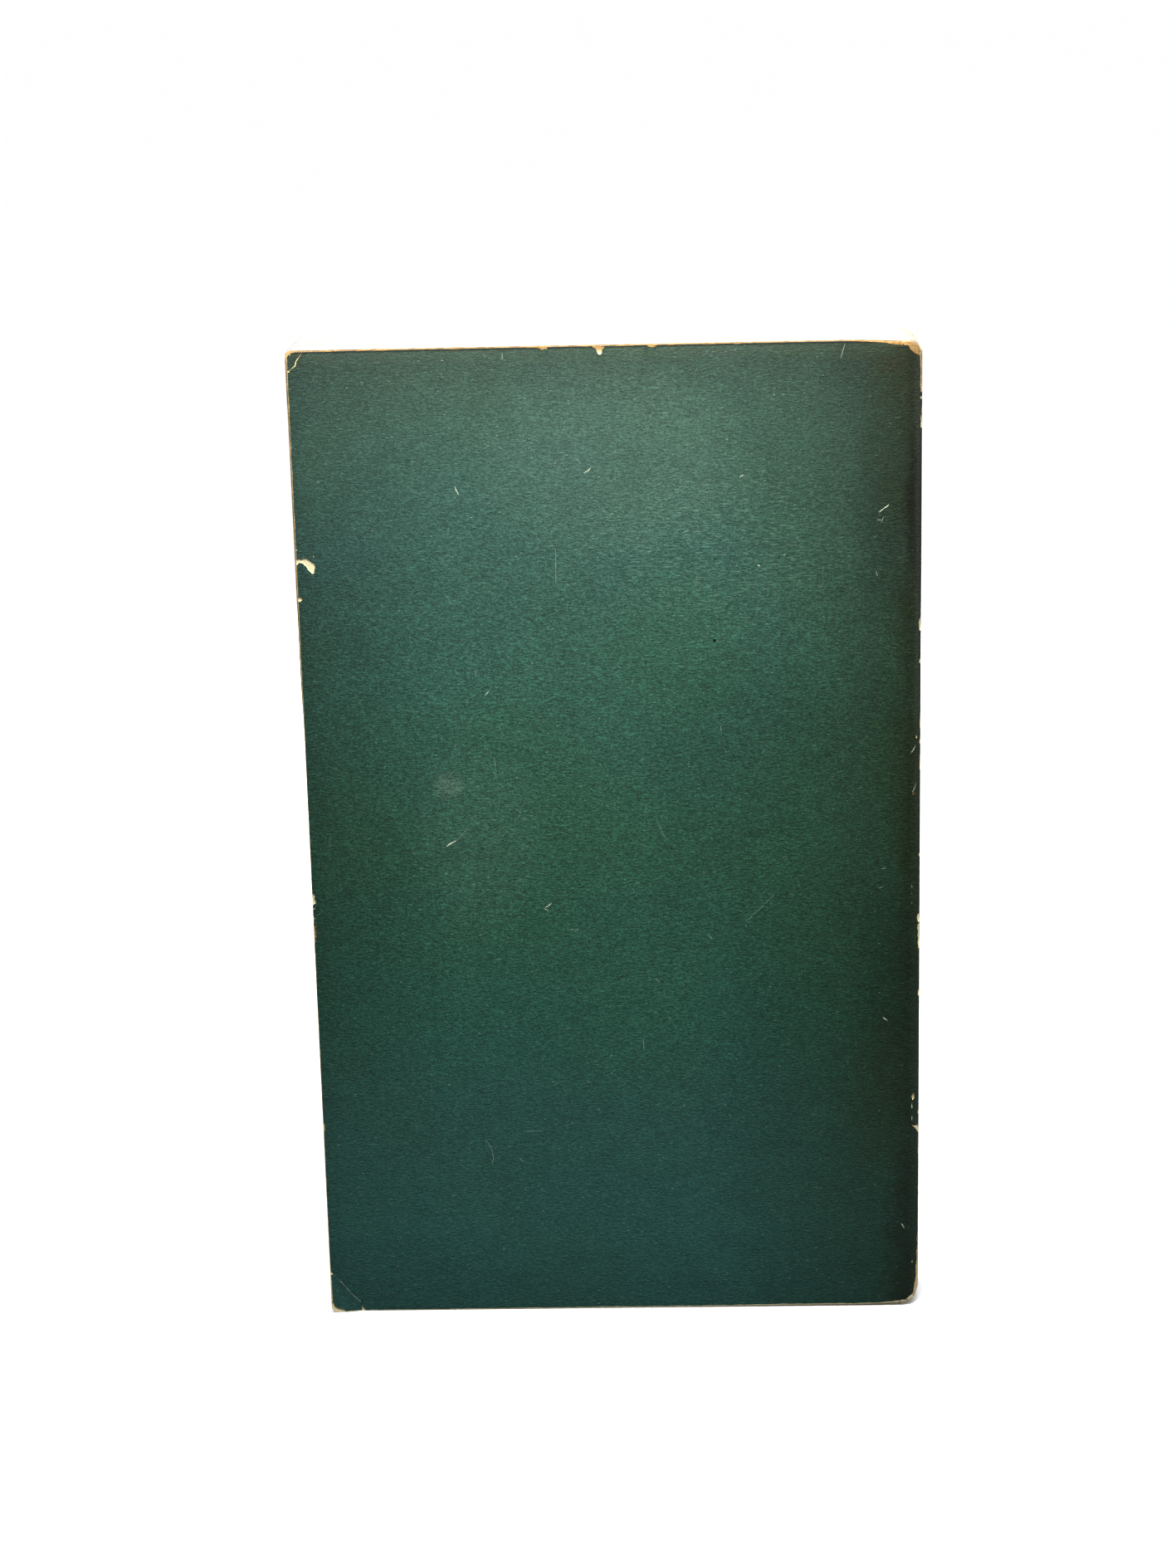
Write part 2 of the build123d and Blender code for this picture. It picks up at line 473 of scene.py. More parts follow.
fore_tan = (
    -0.2, 76.7, 0.3, 76.6, 0.5, 76.2, 0.3, 75.8, 0.55, 75.3, 0.35, 74.8, 0.55, 74.3, 0.25, 73.8, 0.4, 73.4,
    -0.2, 73.1,
)
torn_corner = (
    107.7, 180, 108.1, 179.1, 108.7, 178.5, 109.6, 178.1, 110.5, 177.7, 110.8, 178.3, 109.9, 179.2,
    108.9, 180,
)
low_fold = (
    111.3, 24.1, 111.1, 22.6, 111.3, 21.2, 111.05, 19.5, 111.25, 17.8, 110.95, 16.2, 111.1, 14.6,
    110.75, 12.9, 110.95, 11.4, 110.55, 10.2, 110.75, 8.8, 110.3, 7.2, 110.4, 5.6, 109.8, 3.6, 109.4, 1,
)
high_fold = (109.9, 180.6, 110.3, 178.6, 110.35, 176.5, 110.5, 174.5, 110.4, 172.8, 110.65, 171.4)

# Torn and soiled card
tan_marks = [
    ragged(torn_corner, 50), ragged(fore_tan, 52),
    fold_chip((110.8, 170, 110.95, 168.8, 110.85, 167.7), 53), blotch(109, 99.5, 0.4, 0.6, 54),
    fold_chip((110.75, 33, 110.95, 31.5, 110.85, 29.7), 55),
]

# Card rubbed bare for so long that it is soiled
soiled_marks = [
    fold_chip(high_fold, 18), fold_chip((110.85, 38.3, 111, 37.5), 61), fold_chip(low_fold, 33),
]

# Bright scratches and flecks: width, then across and up of each point
bright_lines = (
    (0.26, 24.7, 90.9, 25.7, 91.6, 26.7, 92.1), (0.15, 42.1, 79, 43, 79.5, 43.7, 80.1),
    (0.15, 42.1, 79, 43, 78.4), (0.15, 51.2, 158.6, 52, 159, 52.5, 159.6),
    (0.2, 102.7, 150.7, 103.2, 151.1, 104.25, 151.85, 104.5, 152), (0.13, 78.3, 157.3, 79.2, 157.8),
    (0.17, 81.4, 141.8, 81.9, 141.4), (0.13, 28.5, 156.6, 28.8, 155.9, 29.2, 155.1),
    (0.13, 108.4, 106.9, 109, 107.5, 109.55, 108.3), (0.13, 108.8, 99.7, 109.3, 100.4, 109.7, 101.2),
    (0.26, 58.95, 121, 59.1, 121.3), (0.12, 32.6, 118.8, 33.4, 119.7), (0.15, 107, 16.7, 107.6, 15.6),
    (0.16, 103.5, 57.3, 104.4, 56.5), (0.26, 109, 40.3, 109.05, 39.2), (0.2, 109.05, 37.8, 109.05, 36.9),
    (0.2, 108.8, 82.3, 108.85, 81.8), (0.19, 108.8, 80.9, 108.8, 80.4), (0.18, 108.85, 79.2, 108.8, 78.7),
)

# Faint scratches and loose fibres, in the same way
faint_lines = (
    (0.12, 26.7, 92.1, 27.6, 92.9, 28.7, 94.3), (0.14, 19.8, 86.6, 20.4, 87.2),
    (0.13, 49.6, 161.2, 50.3, 160.8, 50.7, 160.1), (0.16, 55.6, 151, 56.2, 151.4),
    (0.14, 68, 147.5, 69.6, 148.2), (0.11, 30, 34.4, 31.1, 32.6, 31.5, 30.7, 31.1, 29),
    (0.09, 37.5, 35.7, 40.6, 35.8), (0.13, 36.3, 30.4, 37, 29.7), (0.18, 25.7, 9, 26.2, 9.3),
    (0.16, 24.2, 27.4, 24.6, 27.7), (0.11, 45.9, 145.3, 45.9, 142, 45.8, 139.4),
    (0.14, 31.1, 123.6, 31.1, 122.3), (0.13, 74.6, 112.6, 74.7, 111.5), (0.1, 34, 107.7, 34.1, 105.4),
    (0.15, 71.9, 73.6, 72.6, 72.6), (0.15, 62.2, 65.3, 62.9, 64.4), (0.13, 59.7, 53.7, 59.8, 51.5),
    (0.16, 49.2, 45.7, 49.8, 45.1), (0.09, 78.6, 75.8, 81.4, 78.4, 84.2, 81.3),
    (0.1, 62.7, 95.7, 63.6, 93.4, 64.7, 91.4), (0.2, 47.4, 74.5, 48.3, 74.9),
    (0.13, 103.1, 148.7, 103.5, 149.9), (0.2, 102.2, 140.2, 102.5, 139.3),
    (0.13, 96.9, 180.4, 96.5, 179.2, 96.1, 177.8), (0.16, 37.6, 180, 37.5, 178.6),
    (0.14, 102.3, 149.35, 103.4, 149.3), (0.14, 103.25, 85.5, 104, 85.7), (0.14, 102.7, 81.9, 103.6, 82.1),
    (0.1, 0.7, 7.3, 2.1, 5.85, 3.5, 4, 5.6, 1.7), (0.34, 1.9, 6.15, 2.35, 5.6),
    (0.28, 2.95, 4.75, 3.35, 4.25), (0.2, 3.6, 3.65, 3.8, 3.4), (0.2, 4.5, 2.9, 5.15, 2.3),
    (0.3, 5.3, 2.2, 5.55, 1.95),
)

# Dark spots: across, up and size
dark_spots = ((73.7, 128.2, 0.85), (96.2, 156.1, 0.36), (101.5, 172, 0.24), (14.6, 48, 0.2))

GREEN, BARE, TAN, EDGE, BRIGHT, FAINT, DARK, INSIDE = range(8)
mark_depths = (0, 0.15, 0.15, 0.15, 0.04, 0, 0)


def all_marks():
    """Every mark as (outline, material)."""
    groups = ((bare_marks, BARE), (tan_marks, TAN), (soiled_marks, EDGE))
    marks = [(points, kind) for group, kind in groups for points in group]
    for lines, first_seed, kind in ((bright_lines, 100, BRIGHT), (faint_lines, 200, FAINT)):
        for seed, (width, *numbers) in enumerate(lines, first_seed):
            marks.append((ribbon(numbers, width, seed), kind))
    for seed, (across, up, size) in enumerate(dark_spots, 300):
        marks.append((blotch(across, up, size * 0.8, size, seed, 9), DARK))
    return marks


def holds(points, across, up):
    """Whether an outline has a point inside it."""
    found = False
    for (a0, z0), (a1, z1) in around(points):
        if (z0 > up) != (z1 > up) and across < a0 + (up - z0) / (z1 - z0) * (a1 - a0):
            found = not found
    return found


def grid_rows(across):
    """Heights of a column's points, closer where a panel bends and at the spine's ends."""
    low = foot(across)
    high = top(across)
    to_hinge = panel_width - min(across, sheet_width - across)
    if 0.0 < to_hinge < 1.5 * hinge_bend:
        return steps(low + bend_margin, high - bend_margin, edge_step)
    if to_hinge > 0.0:
        return steps(low + row_margin, high - row_margin, grid_step)
    near_tail = [low + away for away in end_rows]
    near_head = [high - away for away in reversed(end_rows)]
    return near_tail + steps(near_tail[-1] + 1, near_head[0], grid_step) + near_head


def grid_points(low, high, marks):
    """Points inside a panel, finer beside the hinges, none inside a mark."""
    columns = steps(low + grid_step / 2, high, grid_step)
    for hinge in (panel_width, sheet_width - panel_width):
        columns += [hinge - away for away in hinge_columns] + [hinge + away for away in hinge_columns]
    boxes = []
    for points, _ in marks:
        acrosses, ups = zip(*points)
        boxes.append((min(acrosses), max(acrosses), min(ups), max(ups), points))
    found = []
    for across in columns:
        if not low + column_margin < across < high - column_margin:
            continue
        for up in grid_rows(across):
            if min(across, sheet_width - across) < row_margin:
                if not corner_reach < up < cover_head - corner_reach:
                    continue
            near = [b for b in boxes if b[0] <= across <= b[1] and b[2] <= up <= b[3]]
            if not any(holds(b[4], across, up) for b in near):
                found.append((across, up))
    return found


def counter_clockwise(points):
    """An outline that runs counter-clockwise."""
    area = sum(start[0] * end[1] - end[0] * start[1] for start, end in around(points))
    return points if area > 0 else points[::-1]


def triangulate(outline, marks, loose):
    """Points of a filled outline, its triangles with their marks, and the points' sources."""
    points = [Vector(p) for p in outline]
    rings = [list(range(len(points)))]
    for ring, _ in marks:
        rings.append(list(range(len(points), len(points) + len(ring))))
        points += [Vector(p) for p in counter_clockwise(ring)]
    points += [Vector(p) for p in loose]
    places, _, faces, sources, _, owners = delaunay_2d_cdt(points, [], rings, 1, 1e-4, True)
    kept = [(face, max(owner) - 1) for face, owner in zip(faces, owners) if 0 in owner]
    return places, kept, sources


def rim(faces):
    """The boundary of some triangles as one ring of point numbers."""
    edges = {edge for face in faces for edge in around(face)}
    ahead = {start: end for start, end in edges if (end, start) not in edges}
    first = min(ahead)
    ring = [first]
    while ahead[ring[-1]] != first:
        ring.append(ahead[ring[-1]])
    return ring


class Card:
    """The mesh of one panel of the card."""

    def __init__(self):
        self.places = []
        self.flat = []
        self.faces = []
        self.kinds = []
        self.numbers = {}

    def point(self, across, up, depth, flat=None):
        self.places.append(wrap(across, up, depth) * MM)
        self.flat.append(flat or (across, up))
        return len(self.places) - 1

    def shared(self, place, depth):
        """The one point at a place of the sheet and a depth."""
        key = (place.x, place.y, depth)
        if key not in self.numbers:
            self.numbers[key] = self.point(*key)
        return self.numbers[key]

    def face(self, corners, kind):
        ring = []
        for corner in corners:
            if corner not in ring:
                ring.append(corner)
        if len(ring) > 2:
            self.faces.append(ring)
            self.kinds.append(kind)


def inward_normals(points):
    """Unit normals to the inside of a counter-clockwise ring."""
    normals = []
    for index in range(len(points)):
        ahead = Vector(points[(index + 1) % len(points)]) - Vector(points[index - 1])
        normals.append(Vector((-ahead.y, ahead.x)).normalized())
    return normals


def between(place, points, normals, rubs):
    """Normal and rub at a place between two neighbours of a ring."""
    ring = [Vector(p) for p in points]
    detours = []
    for start, end in zip(ring[-1:] + ring[:-1], ring):
        detours.append((place - start).length + (place - end).length - (end - start).length)
    after = detours.index(min(detours))
    share = (place - ring[after - 1]).length / (ring[after] - ring[after - 1]).length
    normal = normals[after - 1].lerp(normals[after], share)
    return normal, rubs[after - 1] * (1 - share) + rubs[after] * share


# A panel takes the marks that come this close to it
mark_reach = 0.5

# Steps of the rounded edge: share of the rub's width, share of its depth
rub_steps = ((0.45, 0.12), (0.8, 0.45), (1, 1))

# Where the rubbed edge shows other card: heights from the tail or head, a run from the hinge, a width, noise
low_corner = 9.0
clean_tail = 1.0
torn_head = 2.5
torn_run = 7.0
green_head = 0.9
green_rub = 0.2
green_size = 3.0
green_seed = 21.0
green_level = -0.15


def edge_kind(across, up, rubbed):
    """Soiled card on most edges, cleaner at the tail, torn at the fold's head, green where still whole."""
    if up < low_corner and across < sheet_middle:
        return BARE if up < clean_tail or across > panel_width else EDGE
    if up > cover_head - torn_head and panel_width - torn_run < across < sheet_middle:
        return TAN
    if up > cover_head - green_head and rubbed < green_rub:
        return GREEN if ripple(across, up, green_size, green_seed) > green_level else EDGE
    return EDGE


def card_panel(name, outline):
    """One closed panel of the card, with its marks sunk in and its edges rubbed."""
    low = min(p[0] for p in outline)
    high = max(p[0] for p in outline)
    marks = [m for m in all_marks() if any(low - mark_reach < p[0] < high + mark_reach for p in m[0])]
    rubs = [rub_at(*p) for p in outline]
    normals = inward_normals(outline)
    drawn_in = [tuple(Vector(p) + n * r) for p, n, r in zip(outline, normals, rubs)]
    mesh = Card()

    # The outer face, and a wall wherever it steps down into a mark
    places, faces, sources = triangulate(drawn_in, marks, grid_points(low, high, marks))
    sides = {}
    for face, mark in faces:
        kind = marks[mark][1] if mark >= 0 else GREEN
        depth = mark_depths[kind]
        mesh.face([mesh.shared(places[corner], depth) for corner in face], kind)
        for edge in around(face):
            sides[edge] = (depth, kind)
    for (start, end), (depth, kind) in sides.items():
        above, _ = sides.get((end, start), (depth, kind))
        if above < depth:
            upper = [mesh.shared(places[start], above), mesh.shared(places[end], above)]
            lower = [mesh.shared(places[end], depth), mesh.shared(places[start], depth)]
            mesh.face(upper + lower, kind)

    # The face's rim, with two nodes where a mark's wall runs out over the edge
    nodes = []
    ring = rim([face for face, _ in faces])
    for before, corner, after in zip(ring[-1:] + ring[:-1], ring, ring[1:] + ring[:1]):
        place = places[corner]
        known = [s for s in sources[corner] if s < len(outline)]
        edge = (normals[known[0]], rubs[known[0]]) if known else between(place, drawn_in, normals, rubs)
        if sides[corner, after][0] != sides[before, corner][0]:
            nodes.append((place, *sides[before, corner], *edge))
        nodes.append((place, *sides[corner, after], *edge))

    # The rounded edge in steps, then the card's thickness
    loops = [[mesh.shared(place, depth) for place, depth, _, _, _ in nodes]]
    inner = {}
    for width_share, depth_share in (*rub_steps, (1, None)):
        loop = []
        for index, (place, sunk, _, normal, rub) in enumerate(nodes):
            out = place - normal * rub * width_share
            if index and nodes[index - 1][0] == place:
                loop.append(loop[-1])
            elif depth_share is None:
                flat = out - normal * card
                loop.append(mesh.point(out.x, out.y, card, (flat.x, flat.y)))
                inner[loop[-1]] = (out.x, out.y)
            elif rub == 0:
                loop.append(loops[0][index])
            else:
                depth = max(sunk, rub_depth(place.y, rub) * depth_share)
                loop.append(mesh.point(out.x, out.y, depth))
        loops.append(loop)
    for near, far in zip(loops, loops[1:]):
        for index, (place, sunk, kind, _, rub) in enumerate(nodes):
            after = (index + 1) % len(nodes)
            if far is loop:
                kind = EDGE
            elif sunk == 0:
                kind = edge_kind(place.x, place.y, rub)
            mesh.face([near[after], near[index], far[index], far[after]], kind)

    # The inner face
    rim_numbers = list(inner)
    places, faces, sources = triangulate(inner.values(), [], grid_points(low, high, []))
    for face, _ in faces:
        ring = []
        for corner in face:
            known = [s for s in sources[corner] if s < len(inner)]
            ring.append(rim_numbers[known[0]] if known else mesh.shared(places[corner], card))
        mesh.face(ring[::-1], INSIDE)
    return make_object(name, mesh.places, mesh.faces, mesh.kinds, card_finishes(), mesh.flat)


def add_object(name, data):
    """A new object in the scene."""
    made = bpy.data.objects.new(name, data)
    bpy.context.scene.collection.objects.link(made)
    return made


def make_object(name, places, faces, kinds, finishes, flat=None, sharp=38):
    """A mesh object with its materials and, for card, its flat layout."""
    mesh = bpy.data.meshes.new(name)
    mesh.from_pydata([tuple(place) for place in places], [], faces)
    for finish in finishes:
        mesh.materials.append(finish)
    mesh.polygons.foreach_set("material_index", kinds)
    mesh.polygons.foreach_set("use_smooth", [True] * len(faces))
    mesh.set_sharp_from_angle(angle=radians(sharp))
    if flat:
        layer = mesh.uv_layers.new(name="card")
        corners = [0] * len(mesh.loops)
        mesh.loops.foreach_get("vertex_index", corners)
        layer.data.foreach_set("uv", [value for corner in corners for value in flat[corner]])
    mesh.validate()
    return add_object(name, mesh)


# Leaves of the page block
leaves_per_section = 16
leaf_seed = 41
leaf_groove = 0.045
section_groove = 0.115
outer_wear = 0.1
outer_ease = (0.07, 0.025)
leaf_shares = (0, 0.14, 0.86, 1)
section_slip = 0.07
section_drop = 0.05
leaf_slip = 0.035
leaf_drop = 0.022
leaf_rise = 0.012

# How far the leaves' fore-edge has slipped in behind the cover's, and the heights where that fades out
fore_slips = ((0.05, 164, 172), (0.22, 110, 124))

# Unevenness of the tail, head and fore-edge of a leaf
tail_uneven = 0.02
head_uneven = 0.03
fore_uneven = 0.04

section_thickness = (page_high.y - page_low.y) / section_count
section_half = section_thickness / 2
block_back = spine_back - card - lining_thickness
lining_back = spine_back - card


def section_fold(across):
    """Place along X of the middle of a section's rounded back."""
    past = max(abs(across) - (page_high.y - block_fold_radius), 0)
    shoulder = sqrt(max((block_fold_radius - section_half) ** 2 - past**2, 0))
    swell = spine_swell * (across / page_high.y) ** 2
    return block_back - swell - block_fold_radius + shoulder


def fore_slip(z):
    """How far the leaves' fore-edge has slipped in at a height."""
    return sum(slip * (1 - smooth(z, low, high)) for slip, low, high in fore_slips)


def leaf_ring(y, fore, tail, head, back, wave):
    """One outline of a leaf, counter-clockwise from its tail."""
    corner = page_corner_radius
    turn_start = min(lining_back - spine_tail_radius, back - corner)
    low_fore = fore + fore_slip(tail)
    high_fore = fore + fore_slip(head)

    def low_edge(x):
        uneven = tail_uneven * ripple(x / 9, y * 3.1, 1, wave) ** 2
        return tail + tail_lift(x) + uneven + rounding(x - lining_back + spine_tail_radius, spine_tail_radius)

    def high_edge(x):
        uneven = head_uneven * ripple(x / 11, y * 3.7, 1, wave + 5) ** 2
        worn = head_drop(x) + rounding(x - lining_back + spine_head_radius, spine_head_radius)
        return head - uneven - worn

    near_back = runs(turn_start, back, 6) + [back]
    points = [(x, low_edge(x)) for x in runs(low_fore + corner, turn_start, 26) + near_back]
    points += [(back, z) for z in runs(low_edge(back), high_edge(back), 8)[1:]]
    points += [(x, high_edge(x)) for x in near_back[::-1] + runs(turn_start, high_fore + corner, 26)[1:]]
    points += arc((high_fore + corner, head - corner), corner, 90, 180, 4)
    for z in runs(head - corner, tail + corner, 40):
        uneven = fore_uneven * abs(ripple(z / 13, y * 2.9, 1, wave + 9))
        points.append((fore + fore_slip(z) + uneven, z))
    points += arc((low_fore + corner, tail + corner), corner, 180, 270, 4)
    return [Vector((x, y, z)) for x, z in points]


def page_block():
    """The leaves as one closed mesh, each a little off its neighbours."""
    rng = random.Random(leaf_seed)
    leaf = section_thickness / leaves_per_section
    rings = []
    for section_number in range(section_count):
        low = page_low.y + section_number * section_thickness
        middle = low + section_half
        fold = section_fold(middle)
        section_fore = rng.uniform(0, section_slip)
        section_head = rng.uniform(0, section_drop)
        for number in range(leaves_per_section):
            outer = min(number, leaves_per_section - 1 - number)
            outermost = (section_number, number) in ((0, 0), (section_count - 1, leaves_per_section - 1))
            outer_drop = outer_wear if section_number in (0, section_count - 1) else 0.0
            eased = 0.0 if outermost or outer >= len(outer_ease) else outer_ease[outer]
            fore = page_low.x + section_fore + eased + abs(rng.gauss(0, leaf_slip))
            head = page_high.z - outer_drop - section_head - eased - abs(rng.gauss(0, leaf_drop))
            tail = page_low.z + eased + abs(rng.gauss(0, leaf_rise))
            wave = rng.uniform(0, 40)
            for share in leaf_shares[1 if number else 0:]:
                y = low + leaf * (number + share)
                back = fold + sqrt(max(section_half**2 - (y - middle) ** 2, 0))
                groove = leaf_groove if share in (0, 1) else 0.0
                if outermost:
                    groove = 0.0
                elif (number, share) in ((0, 0), (leaves_per_section - 1, 1)):
                    groove = section_groove
                rings.append(leaf_ring(y, fore + groove, tail + groove, head - groove, back, wave))
    size = len(rings[0])
    places = [place * MM for ring in rings for place in ring]
    faces = [list(range(size)), [len(places) - 1 - step for step in range(size)]]
    kinds = [1, 1]
    for base in range(0, len(places) - size, size):
        for step in range(size):
            after = (step + 1) % size
            faces.append([base + size + step, base + size + after, base + after, base + step])
            kinds.append(0)
    return make_object("leaves", places, faces, kinds, [page_edge_finish(), page_face_finish()])


# Nearly all values of a noise lie between these
usual_noise = (0.3, 0.7)


class Finish:
    """One material's nodes, with short calls for the usual ones."""

    def __init__(self, name):
        self.material = bpy.data.materials.new(name)
        self.material.use_nodes = True
        self.tree = self.material.node_tree
        self.tree.nodes.clear()
        self.shader = self.node("BsdfPrincipled")
        self.node("OutputMaterial", {"Surface": self.shader.outputs["BSDF"]})

    def node(self, kind, inputs=None, **settings):
        """A new node with its settings and inputs."""
        made = self.tree.nodes.new("ShaderNode" + kind)
        for name, value in settings.items():
            setattr(made, name, value)
        self.feed(made, inputs or {})
        return made

    def feed(self, node, inputs):
        """Links a node's inputs to other nodes' outputs, or sets their values."""
        for key, value in inputs.items():
            if isinstance(value, bpy.types.NodeSocket):
                self.tree.links.new(value, node.inputs[key])
            else:
                node.inputs[key].default_value = value

    def math(self, operation, first, second=0, clamp=False):
        made = self.node("Math", {0: first, 1: second}, operation=operation, use_clamp=clamp)
        return made.outputs[0]

    def times(self, first, second):
        return self.math("MULTIPLY", first, second)

    def plus(self, first, second):
        return self.math("ADD", first, second)

    def less(self, first, second):
        return self.math("SUBTRACT", first, second)

    def mix(self, share, first, second, blend="MIX"):
        inputs = {0: share, 6: first, 7: second}
        return self.node("Mix", inputs, data_type="RGBA", blend_type=blend).outputs[2]

    def scaled(self, colour, by):
        inputs = {0: colour[:3] if isinstance(colour, tuple) else colour, 3: by}
        return self.node("VectorMath", inputs, operation="SCALE").outputs[0]

    def span(self, value, start, end, low=0, high=1, kind="SMOOTHSTEP"):
        """Carries a value from start..end to low..high."""
        inputs = {0: value, 1: start, 2: end, 3: low, 4: high}
        return self.node("MapRange", inputs, interpolation_type=kind, clamp=True).outputs[0]

    def even(self, value, low, high):
        """Carries the usual range of a noise evenly to low..high."""
        return self.span(value, *usual_noise, low, high, "LINEAR")

    def noise(self, place, stretch, detail=2, roughness=0.5, shift=0):
        """Noise on a place multiplied by stretch."""
        inputs = {0: place, 1: (*stretch, 1)[:3], 2: (shift, shift * 0.7, shift * 1.3)}
        moved = self.node("VectorMath", inputs, operation="MULTIPLY_ADD")
        inputs = {"Vector": moved.outputs[0], "Scale": 1, "Detail": detail, "Roughness": roughness}
        return self.node("TexNoise", inputs, noise_dimensions="3D").outputs["Fac"]

    def ramp(self, value, stops):
        """Colours along a value, from (place, colour) stops."""
        made = self.node("ValToRGB", {0: value})
        elements = made.color_ramp.elements
        while len(elements) < len(stops):
            elements.new(0.5)
        for element, (place, colour) in zip(elements, stops):
            element.position = place
            element.color = colour
        return made.outputs[0]

    def bump(self, height, strength, distance_mm):
        made = self.node("Bump", {"Strength": strength, "Distance": distance_mm * MM, "Height": height})
        self.feed(self.shader, {"Normal": made.outputs[0]})

    def flat_place(self):
        """Place on the card sheet in millimetres, with its across and up."""
        place = self.node("UVMap", uv_map="card").outputs[0]
        parts = self.node("SeparateXYZ", {0: place}).outputs
        return place, parts[0], parts[1]

    def object_place(self):
        """Place in the object in millimetres, with its three parts."""
        place = self.scaled(self.node("TexCoord").outputs["Object"], 1 / MM)
        return place, *self.node("SeparateXYZ", {0: place}).outputs

    def spot(self, across, up, middle, size, ragged_by):
        """Share of a soft spot, 1 in its middle, its edge broken by noise."""
        side = self.times(self.less(across, middle[0]), 2 / size[0])
        level = self.times(self.less(up, middle[1]), 2 / size[1])
        reach = self.plus(self.times(side, side), self.times(level, level))
        return self.span(self.plus(reach, self.less(ragged_by, 0.5)), 1, 0.1)

    def foxed(self, colour, place, stretch, tone):
        """A colour with fox marks scattered over it."""
        spots = self.span(self.noise(place, stretch, 1, 0.5, 12), 0.74, 0.82)
        return self.mix(self.times(spots, 0.4), colour, tone)

    def done(self, colour, roughness, specular):
        inputs = {"Base Color": colour, "Roughness": roughness, "Specular IOR Level": specular}
        self.feed(self.shader, inputs)
        return self.material


def srgb(red, green, blue):
    """A colour from its screen values, 0 to 255."""
    values = []
    for part in (red, green, blue):
        part /= 255
        values.append(part / 12.92 if part <= 0.04045 else ((part + 0.055) / 1.055) ** 2.4)
    return (*values, 1)


# Soft changes of tone on the back cover: across, up, width, height, share, colour. The pale grey-green patch
# at 56, 160 is a painted sheen; the dark patches near the back fold, at across 107 to 110.5, are dirt with
# painted shade of the card turning round the fold.
tone_patches = (
    (80, 108, 46, 44, 0.22, srgb(16, 44, 36)), (56, 160, 56, 40, 0.09, srgb(118, 146, 130)),
    (25.5, 102.2, 6.4, 6.4, 0.3, srgb(112, 138, 120)), (104.6, 176.5, 6.4, 4.8, 0.16, srgb(70, 52, 34)),
    (107, 152, 20, 54, 0.25, srgb(26, 42, 26)), (109.5, 151, 6, 26, 0.55, srgb(28, 28, 14)),
    (107, 62, 20, 44, 0.15, srgb(14, 24, 18)), (92, 42, 52, 120, 0.18, srgb(12, 34, 28)),
    (31, 92, 28, 40, 0.07, srgb(112, 144, 134)), (103, 40, 16, 40, 0.2, srgb(66, 80, 54)),
    (72, 82, 26, 34, 0.14, srgb(14, 40, 30)), (110.5, 12, 17, 60, 0.5, srgb(34, 32, 18)),
    (68, 128, 34, 40, 0.15, srgb(50, 94, 48)),
)

# Tones of the green up the cover, by share of its height: a real shift of hue, with painted shade in the
# darker tone at the tail and a painted sheen in the greyer tones near the head
green_tones = (
    (0, srgb(40, 84, 79)), (0.09, srgb(48, 96, 90)), (0.22, srgb(47, 93, 85)), (0.33, srgb(45, 94, 80)),
    (0.5, srgb(48, 93, 75)), (0.66, srgb(52, 95, 82)), (0.8, srgb(56, 93, 84)), (0.93, srgb(58, 88, 77)),
    (0.97, srgb(55, 80, 70)), (1, srgb(53, 75, 64)),
)

# Browning of the folds, with painted shade where the card turns round them away from the light: distance from
# the spine's middle in shares of the reach, and a factor
fold_browning_and_shade = (
    (0, (0.8, 0.78, 0.68, 1)), (0.09, (0.74, 0.68, 0.54, 1)), (0.135, (0.36, 0.2, 0.09, 1)),
    (0.22, (0.39, 0.23, 0.11, 1)), (0.29, (0.47, 0.38, 0.25, 1)), (0.4, (0.57, 0.51, 0.42, 1)),
    (0.62, (0.79, 0.78, 0.7, 1)), (1, (1, 1, 1, 1)),
)
fold_reach = 44.0


